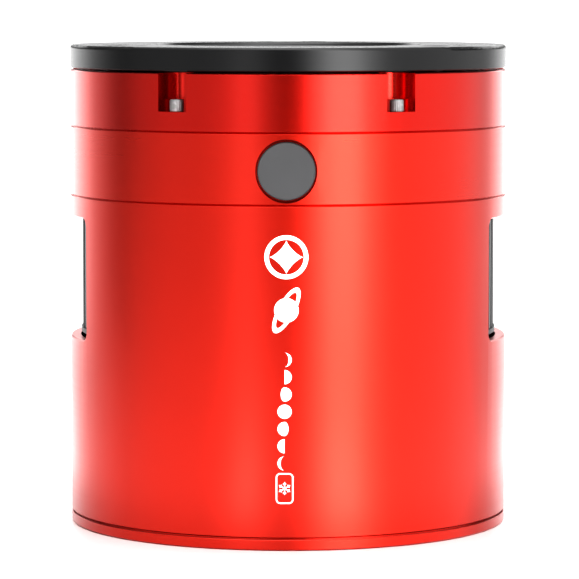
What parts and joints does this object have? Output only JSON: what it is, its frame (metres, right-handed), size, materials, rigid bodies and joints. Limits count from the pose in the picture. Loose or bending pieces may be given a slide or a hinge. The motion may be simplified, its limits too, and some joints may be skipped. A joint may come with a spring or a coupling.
{
  "type": "cooled astronomy camera",
  "caption": "Round thermoelectrically cooled camera body with a threaded front tilt plate, side air vents, a rear fan grille and rear sockets.",
  "frame": {"origin": "centre of the rear face, which the camera stands on", "axes": "+Z along the optical axis towards the sky; -Y is the side with the desiccant plug and the rear sockets; the air vents face +X and -X"},
  "size_m": [0.09, 0.09, 0.0985],
  "materials": {
    "red_anodised": "bead-blasted, red anodised satin",
    "black_anodised": "fine-turned, black anodised satin",
    "black_heat_sink": "extruded, black anodised",
    "bare_aluminium": "milled, bare",
    "steel": "turned stainless steel",
    "black_steel": "black oxide",
    "plated_steel": "nickel plated, formed sheet",
    "magnet": "bonded ferrite, dark grey",
    "sintered_bronze": "sintered bronze",
    "copper_winding": "enamelled copper wire",
    "coated_glass": "anti-reflection coated, clear",
    "sensor_silicon": "dark polished silicon",
    "alumina": "fired white alumina",
    "package_ceramic": "dark fired ceramic",
    "tellurium_alloy": "grey semiconductor",
    "circuit_board": "green solder mask",
    "black_plastic": "moulded, fine texture",
    "white_plastic": "moulded, white",
    "grey_rubber": "moulded matt dark grey",
    "black_rubber": "moulded black",
    "foam": "closed-cell foam",
    "thermal_silicone": "grey silicone pad",
    "desiccant": "pressed white tablet",
    "polyimide": "amber flat cable"
  },
  "bodies": {
    "camera": {"front_ring": "red_anodised", "ring_screws": "steel", "window_glass": "coated_glass", "window_o_ring": "black_rubber", "window_retainer": "black_anodised", "dew_heater": "polyimide", "chamber_housing": "red_anodised", "chamber_o_ring": "black_rubber", "sensor_package": "package_ceramic", "sensor_die": "sensor_silicon", "sensor_glass": "coated_glass", "sensor_board": "circuit_board", "board_posts": "bare_aluminium", "board_screws": "steel", "thermal_pad": "thermal_silicone", "cold_finger": "bare_aluminium", "peltier_plates": "alumina", "peltier_pellets": "tellurium_alloy", "cooler_foam": "foam", "feedthrough": "black_plastic", "sensor_ribbon": "polyimide", "heat_sink": "black_heat_sink", "sink_screws": "black_steel", "sink_gasket": "black_rubber", "main_shell": "red_anodised", "tie_rods": "bare_aluminium", "air_baffle": "black_anodised", "air_duct": "black_plastic", "fan_frame": "black_plastic", "fan_bearing": "sintered_bronze", "fan_stator": "copper_winding", "fan_screws": "black_steel", "fan_spacer": "black_rubber", "main_board": "circuit_board", "main_board_screws": "steel", "board_chips": "black_plastic", "board_capacitors": "bare_aluminium", "ribbon_socket": "white_plastic", "usb_a_shells": "plated_steel", "usb_a_tongues": "black_plastic", "usb_b_shell": "plated_steel", "usb_b_insert": "black_plastic", "dc_jack": "black_plastic", "dc_pin": "plated_steel", "rear_cover": "red_anodised", "rear_cover_screws": "black_steel"},
    "tilt_carrier": {"tilt_seal": "foam"},
    "tilt_plate": {"tilt_plate": "black_anodised"},
    "fan_rotor": {"fan_rotor": "black_plastic", "fan_shaft": "steel", "fan_magnet": "magnet"},
    "desiccant": {"desiccant_plug": "grey_rubber", "plug_o_ring": "black_rubber", "desiccant_tablets": "desiccant"},
    "pull_screw_1": {"pull_screw_1": "black_steel"},
    "push_screw_1": {"push_screw_1": "black_steel"},
    "pull_screw_2": {"pull_screw_2": "black_steel"},
    "push_screw_2": {"push_screw_2": "black_steel"},
    "pull_screw_3": {"pull_screw_3": "black_steel"},
    "push_screw_3": {"push_screw_3": "black_steel"}
  },
  "joints": [
    {"name": "tilt_at_pair_2", "type": "hinge", "parent": "camera", "child": "tilt_carrier", "pos_m": [-0.03225, -0.01862, 0.0935], "axis": [1, 0, 0], "range_deg": [-0.18, 0.25]},
    {"name": "tilt_at_pair_1", "type": "hinge", "parent": "tilt_carrier", "child": "tilt_plate", "pos_m": [0, 0.03723, 0.0935], "axis": [-0.5, -0.866, 0], "range_deg": [-0.18, 0.25]},
    {"name": "fan_spin", "type": "hinge", "parent": "camera", "child": "fan_rotor", "pos_m": [0, 0.004, 0.0094], "axis": [0, 0, 1], "continuous": true},
    {"name": "desiccant_pull", "type": "slide", "parent": "camera", "child": "desiccant", "axis": [0, -1, 0], "range_m": [0, 0.012]},
    {"name": "push_turn_1", "type": "hinge", "parent": "camera", "child": "push_screw_1", "pos_m": [0.03486, -0.01409, 0.0955], "axis": [0, 0, -1], "range_deg": [-127, 176]},
    {"name": "pull_turn_1", "type": "hinge", "parent": "camera", "child": "pull_screw_1", "pos_m": [0.02963, -0.02315, 0.0955], "axis": [0, 0, 1], "range_deg": [-127, 176]},
    {"name": "push_turn_2", "type": "hinge", "parent": "camera", "child": "push_screw_2", "pos_m": [-0.00523, 0.03723, 0.0955], "axis": [0, 0, -1], "range_deg": [-127, 176]},
    {"name": "pull_turn_2", "type": "hinge", "parent": "camera", "child": "pull_screw_2", "pos_m": [0.00523, 0.03723, 0.0955], "axis": [0, 0, 1], "range_deg": [-127, 176]},
    {"name": "push_turn_3", "type": "hinge", "parent": "camera", "child": "push_screw_3", "pos_m": [-0.02963, -0.02315, 0.0955], "axis": [0, 0, -1], "range_deg": [-127, 176]},
    {"name": "pull_turn_3", "type": "hinge", "parent": "camera", "child": "pull_screw_3", "pos_m": [-0.03486, -0.01409, 0.0955], "axis": [0, 0, 1], "range_deg": [-127, 176]}
  ],
  "couplings": [
    {"joint": "push_turn_1", "follows": "tilt_at_pair_1", "ratio": 701.85},
    {"joint": "pull_turn_1", "follows": "tilt_at_pair_1", "ratio": 701.85},
    {"joint": "push_turn_2", "follows": "tilt_at_pair_2", "ratio": 701.85},
    {"joint": "pull_turn_2", "follows": "tilt_at_pair_2", "ratio": 701.85},
    {"joint": "pull_turn_3", "follows": "push_turn_3", "ratio": 1}
  ]
}
